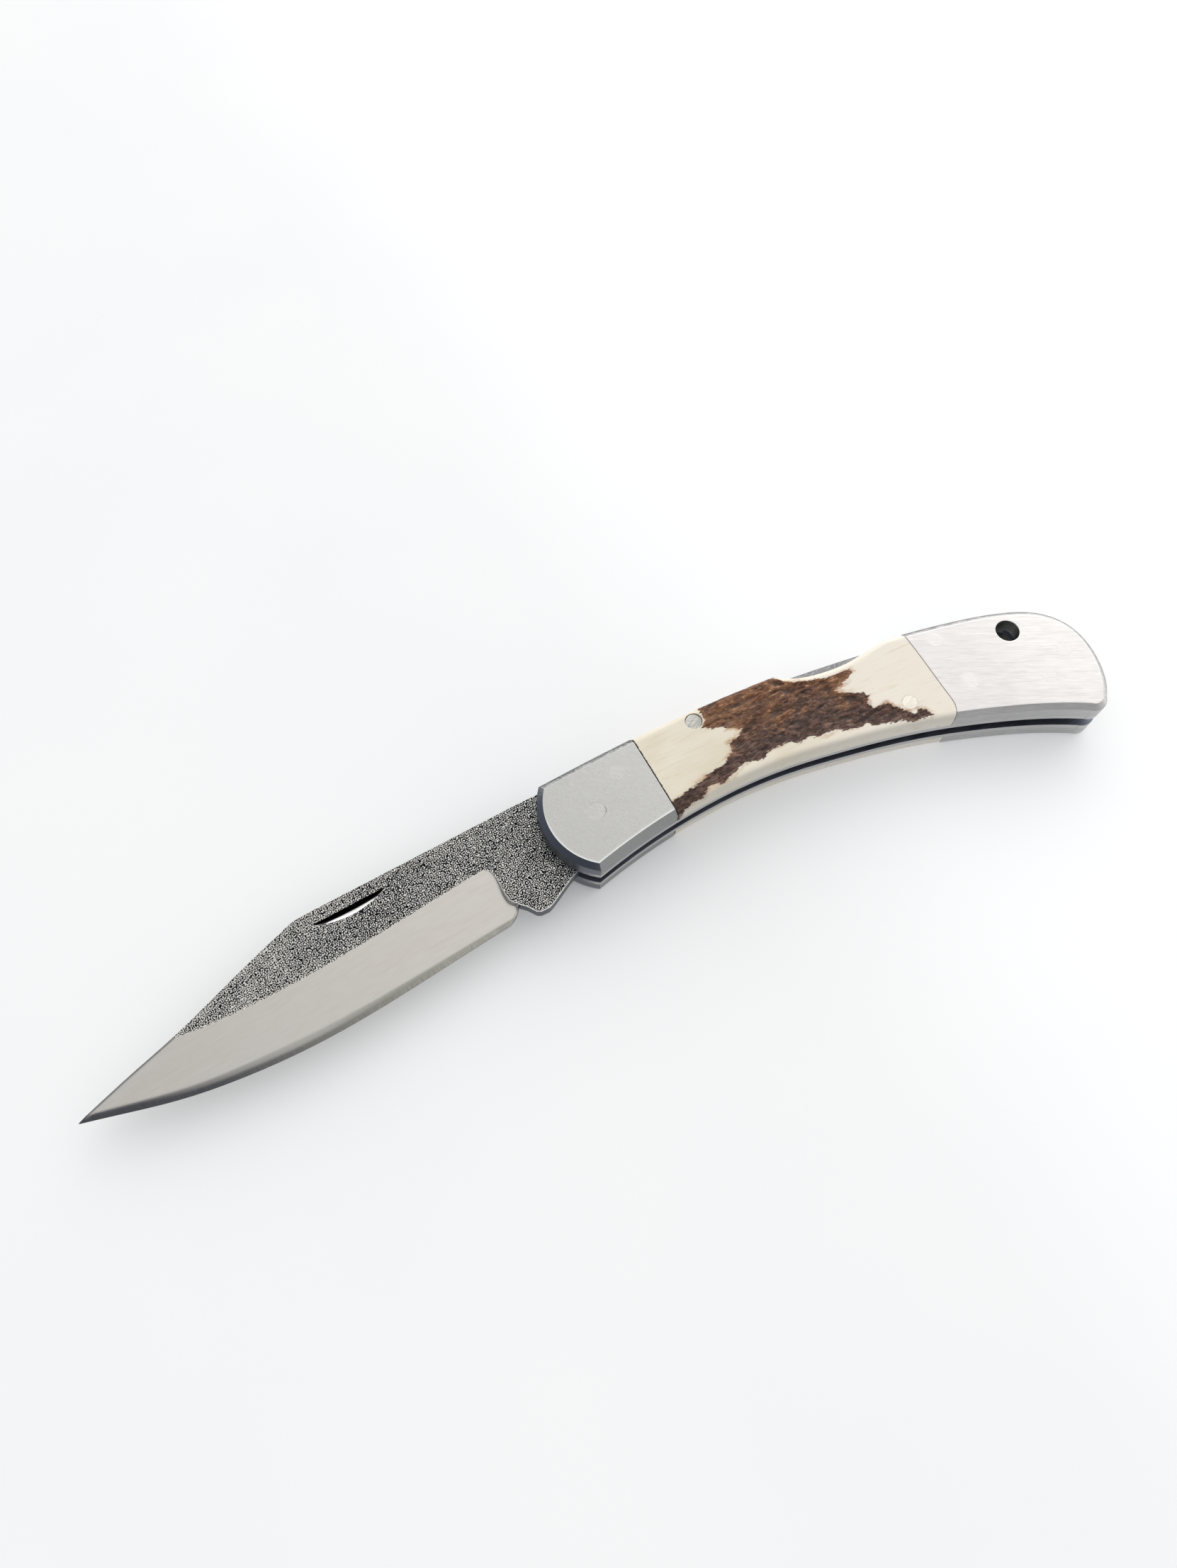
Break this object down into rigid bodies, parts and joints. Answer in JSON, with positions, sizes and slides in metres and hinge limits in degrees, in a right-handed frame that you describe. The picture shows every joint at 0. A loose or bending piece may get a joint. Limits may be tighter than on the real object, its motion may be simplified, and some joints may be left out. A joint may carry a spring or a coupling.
{
  "type": "lockback folding knife",
  "caption": "Large lockback folding knife with a clip-point blade, steel bolsters, stag antler scales, a thumb cut-out over the lock bar and a lanyard hole in the butt.",
  "frame": {"origin": "middle of the open knife's outline, on its back face", "axes": "+X from the tip to the butt, parallel to the spine; +Y to the spine side; +Z through the thickness, towards the face with the nail nick"},
  "size_m": [0.214, 0.0418, 0.0118],
  "materials": {
    "blade_steel": "satin ground bevel below a textured black and silver flat",
    "bolster_steel": "fine lengthwise brush",
    "liner_steel": "satin",
    "spring_steel": "satin",
    "pin_steel": "ground flush",
    "pin_pale": "ground flush, pale",
    "stag": "polished cream antler with rough dark brown bark"
  },
  "bodies": {
    "handle": {"lock_spring": "spring_steel", "backspacer": "spring_steel", "liner_front": "liner_steel", "liner_back": "liner_steel", "front_bolster_front": "bolster_steel", "front_bolster_back": "bolster_steel", "rear_bolster_front": "bolster_steel", "rear_bolster_back": "bolster_steel", "scale_front": "stag", "scale_back": "stag", "pivot_pin": "pin_steel", "rocker_pin": "pin_steel", "spacer_pin_top": "pin_steel", "spacer_pin_rear": "pin_steel", "scale_rivet_front": "pin_pale", "scale_rivet_back": "pin_pale", "bolster_rivet_front": "pin_steel", "bolster_rivet_back": "pin_steel", "rear_rivet_a_front": "pin_steel", "rear_rivet_a_back": "pin_steel", "rear_rivet_b_front": "pin_steel", "rear_rivet_b_back": "pin_steel"},
    "blade": {"blade": "blade_steel"},
    "lock_bar": {"lock_bar": "spring_steel"}
  },
  "joints": [
    {"name": "blade_fold", "type": "hinge", "parent": "handle", "child": "blade", "pos_m": [-0.0007, 0.01026, 0.0059], "axis": [0, 0, 1], "range_deg": [0, 165]},
    {"name": "lock_bar_press", "type": "hinge", "parent": "handle", "child": "lock_bar", "pos_m": [0.0258, 0.01746, 0.0059], "axis": [0, 0, -1], "range_deg": [0, 5], "stiffness_Nm_per_rad": 2, "springref_deg": -5.73, "deforming": ["lock_spring"]}
  ]
}
